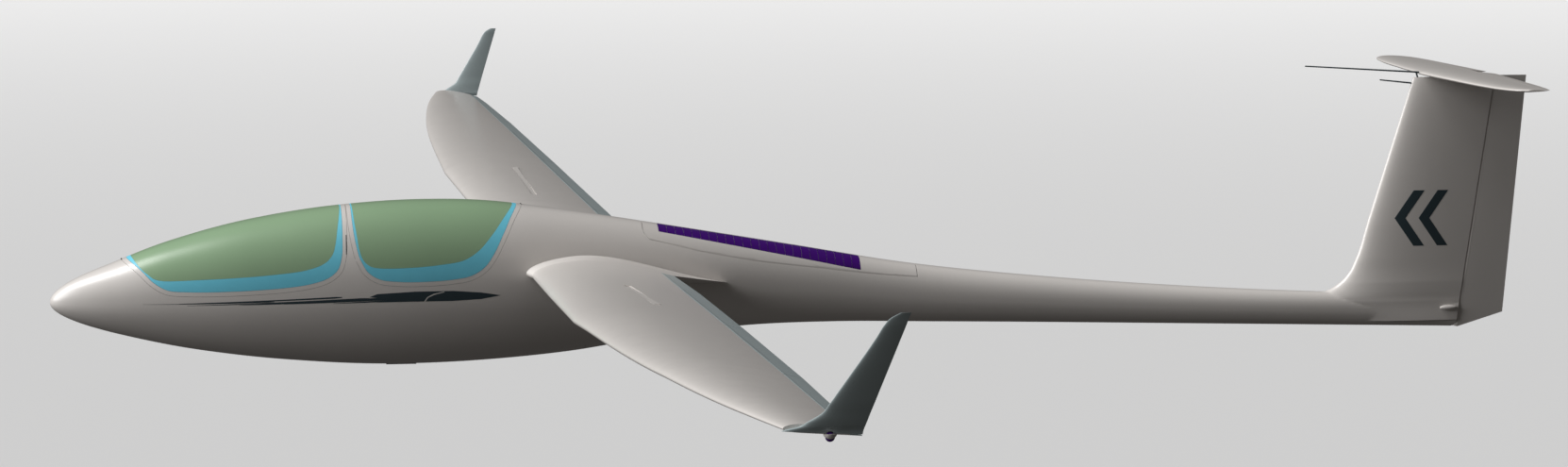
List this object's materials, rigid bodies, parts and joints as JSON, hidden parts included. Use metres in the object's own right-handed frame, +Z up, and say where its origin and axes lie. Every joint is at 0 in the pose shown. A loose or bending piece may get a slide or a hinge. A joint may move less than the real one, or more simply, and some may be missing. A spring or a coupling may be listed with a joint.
{
  "type": "rc glider",
  "caption": "Large two-seat radio-controlled sailplane with opening canopies, flaps, ailerons, airbrakes, T-tail, retracting wheel, winglets and a folded engine under doors.",
  "frame": {"origin": "middle of the model in plan, at the underside of the wear plate under the belly", "axes": "+X from nose to tail, +Y to the right wing tip, +Z up"},
  "size_m": [2.2576, 4.999, 0.4366],
  "materials": {
    "white": "gloss",
    "grey_blue": "satin",
    "slate": "satin",
    "canopy_green": "gloss",
    "cockpit_blue": "satin",
    "black": "satin",
    "metal": "satin",
    "steel": "satin",
    "tyre": "matte",
    "purple": "gloss",
    "wood": "satin"
  },
  "bodies": {
    "airframe": {"fuselage_left_shell": "white", "fuselage_right_shell": "white", "front_cockpit_tub": "cockpit_blue", "rear_cockpit_tub": "cockpit_blue", "belly_wear_plate": "black", "front_canopy_hinge_pin": "steel", "rear_canopy_hinge_pin": "steel", "wing_joiner": "steel", "wing_left": "white", "flap_servo_left": "black", "aileron_servo_left": "black", "winglet_left": "slate", "tip_wheel_fairing_left": "white", "wing_right": "white", "flap_servo_right": "black", "aileron_servo_right": "black", "winglet_right": "slate", "tip_wheel_fairing_right": "white", "horizontal_stabilizer": "white", "energy_probe": "black", "pitot_probe": "black", "rudder_horn_fairing": "white", "gear_frame": "metal", "pylon_arm": "black", "drive_motor": "metal", "propeller": "wood", "battery_pack": "black", "receiver": "black", "rudder_servo": "black", "elevator_servo": "black"},
    "front_canopy": {"front_canopy_frame": "white", "front_canopy_glass": "canopy_green", "front_canopy_rim": "cockpit_blue"},
    "rear_canopy": {"rear_canopy_frame": "white", "rear_canopy_glass": "canopy_green", "rear_canopy_rim": "cockpit_blue"},
    "engine_door_left": {"engine_door_left": "white", "solar_strip_left": "purple"},
    "engine_door_right": {"engine_door_right": "white", "solar_strip_right": "purple"},
    "gear_leg": {"gear_swing_arm": "metal"},
    "main_wheel": {"main_tyre": "tyre", "main_hub": "metal"},
    "gear_door_left": {"gear_door_left": "white"},
    "gear_door_right": {"gear_door_right": "white"},
    "rudder": {"rudder": "white"},
    "elevator": {"elevator": "white"},
    "inner_flap_left": {"inner_flap_left": "grey_blue"},
    "inner_flap_right": {"inner_flap_right": "grey_blue"},
    "outer_flap_left": {"outer_flap_left": "grey_blue"},
    "outer_flap_right": {"outer_flap_right": "grey_blue"},
    "inner_aileron_left": {"inner_aileron_left": "grey_blue"},
    "inner_aileron_right": {"inner_aileron_right": "grey_blue"},
    "outer_aileron_left": {"outer_aileron_left": "grey_blue"},
    "outer_aileron_right": {"outer_aileron_right": "grey_blue"},
    "airbrake_left": {"airbrake_left": "white"},
    "airbrake_right": {"airbrake_right": "white"},
    "tip_wheel_left": {"tip_wheel_left": "purple"},
    "tip_wheel_right": {"tip_wheel_right": "purple"}
  },
  "joints": [
    {"name": "front_canopy_hinge", "type": "hinge", "parent": "airframe", "child": "front_canopy", "pos_m": [-1.02725, 0, 0.16425], "axis": [0, -1, 0], "range_deg": [0, 65]},
    {"name": "rear_canopy_hinge", "type": "hinge", "parent": "airframe", "child": "rear_canopy", "pos_m": [-0.42875, 0, 0.23901], "axis": [0, 1, 0], "range_deg": [0, 60]},
    {"name": "engine_door_left_hinge", "type": "hinge", "parent": "airframe", "child": "engine_door_left", "pos_m": [-0.24575, -0.038, 0.1924], "axis": [0.9858, 0.0259, -0.1658], "range_deg": [0, 78]},
    {"name": "engine_door_right_hinge", "type": "hinge", "parent": "airframe", "child": "engine_door_right", "pos_m": [-0.24575, 0.038, 0.1924], "axis": [0.9858, -0.0259, -0.1658], "range_deg": [-78, 0]},
    {"name": "gear_retract", "type": "hinge", "parent": "airframe", "child": "gear_leg", "pos_m": [-0.44375, 0, 0.0506], "axis": [0, 1, 0], "range_deg": [0, 135]},
    {"name": "main_wheel_spin", "type": "hinge", "parent": "gear_leg", "child": "main_wheel", "pos_m": [-0.40132, 0, 0.09303], "axis": [0, 1, 0], "continuous": true},
    {"name": "gear_door_left_hinge", "type": "hinge", "parent": "airframe", "child": "gear_door_left", "pos_m": [-0.49075, -0.035, 0.00841], "axis": [0.9943, 0, 0.1065], "range_deg": [-110, 0]},
    {"name": "gear_door_right_hinge", "type": "hinge", "parent": "airframe", "child": "gear_door_right", "pos_m": [-0.49075, 0.035, 0.00841], "axis": [0.9943, 0, 0.1065], "range_deg": [0, 110]},
    {"name": "rudder_hinge", "type": "hinge", "parent": "airframe", "child": "rudder", "pos_m": [1.02695, 0, 0.0296], "axis": [0.1487, 0, 0.9889], "range_deg": [-28, 28]},
    {"name": "elevator_hinge", "type": "hinge", "parent": "airframe", "child": "elevator", "pos_m": [1.04625, 0, 0.4231], "axis": [0, 1, 0], "range_deg": [-22, 22]},
    {"name": "inner_flap_left_hinge", "type": "hinge", "parent": "airframe", "child": "inner_flap_left", "pos_m": [-0.2326, -0.151, 0.14392], "axis": [0.0534, 0.9972, -0.0525], "range_deg": [-12, 30]},
    {"name": "inner_flap_right_hinge", "type": "hinge", "parent": "airframe", "child": "inner_flap_right", "pos_m": [-0.2326, 0.151, 0.14392], "axis": [-0.0534, 0.9972, 0.0525], "range_deg": [-12, 30]},
    {"name": "outer_flap_left_hinge", "type": "hinge", "parent": "airframe", "child": "outer_flap_left", "pos_m": [-0.25669, -0.601, 0.16761], "axis": [0.0373, 0.9984, -0.0421], "range_deg": [-12, 30]},
    {"name": "outer_flap_right_hinge", "type": "hinge", "parent": "airframe", "child": "outer_flap_right", "pos_m": [-0.25669, 0.601, 0.16761], "axis": [-0.0373, 0.9984, 0.0421], "range_deg": [-12, 30]},
    {"name": "inner_aileron_left_hinge", "type": "hinge", "parent": "airframe", "child": "inner_aileron_left", "pos_m": [-0.28098, -1.251, 0.19504], "axis": [0.0277, 0.9991, -0.0319], "range_deg": [-25, 25]},
    {"name": "inner_aileron_right_hinge", "type": "hinge", "parent": "airframe", "child": "inner_aileron_right", "pos_m": [-0.28098, 1.251, 0.19504], "axis": [-0.0277, 0.9991, 0.0319], "range_deg": [-25, 25]},
    {"name": "outer_aileron_left_hinge", "type": "hinge", "parent": "airframe", "child": "outer_aileron_left", "pos_m": [-0.29897, -1.901, 0.21575], "axis": [0.0182, 0.9996, -0.0227], "range_deg": [-25, 25]},
    {"name": "outer_aileron_right_hinge", "type": "hinge", "parent": "airframe", "child": "outer_aileron_right", "pos_m": [-0.29897, 1.901, 0.21575], "axis": [-0.0182, 0.9996, 0.0227], "range_deg": [-25, 25]},
    {"name": "airbrake_left_lift", "type": "slide", "parent": "airframe", "child": "airbrake_left", "axis": [0, 0.0453, 0.999], "range_m": [0, 0.0125]},
    {"name": "airbrake_right_lift", "type": "slide", "parent": "airframe", "child": "airbrake_right", "axis": [0, -0.0453, 0.999], "range_m": [0, 0.0125]},
    {"name": "tip_wheel_left_spin", "type": "hinge", "parent": "airframe", "child": "tip_wheel_left", "pos_m": [-0.33025, -2.4525, 0.2246], "axis": [0, 1, 0], "continuous": true},
    {"name": "tip_wheel_right_spin", "type": "hinge", "parent": "airframe", "child": "tip_wheel_right", "pos_m": [-0.33025, 2.4525, 0.2246], "axis": [0, 1, 0], "continuous": true}
  ],
  "couplings": [
    {"joint": "engine_door_right_hinge", "follows": "engine_door_left_hinge", "ratio": -1},
    {"joint": "gear_door_left_hinge", "follows": "gear_retract", "ratio": -0.8148},
    {"joint": "gear_door_right_hinge", "follows": "gear_retract", "ratio": 0.8148},
    {"joint": "inner_flap_right_hinge", "follows": "inner_flap_left_hinge", "ratio": 1},
    {"joint": "outer_flap_left_hinge", "follows": "inner_flap_left_hinge", "ratio": 1},
    {"joint": "outer_flap_right_hinge", "follows": "inner_flap_left_hinge", "ratio": 1},
    {"joint": "inner_aileron_right_hinge", "follows": "inner_aileron_left_hinge", "ratio": -1},
    {"joint": "outer_aileron_left_hinge", "follows": "inner_aileron_left_hinge", "ratio": 1},
    {"joint": "outer_aileron_right_hinge", "follows": "inner_aileron_left_hinge", "ratio": -1},
    {"joint": "airbrake_right_lift", "follows": "airbrake_left_lift", "ratio": 1}
  ]
}
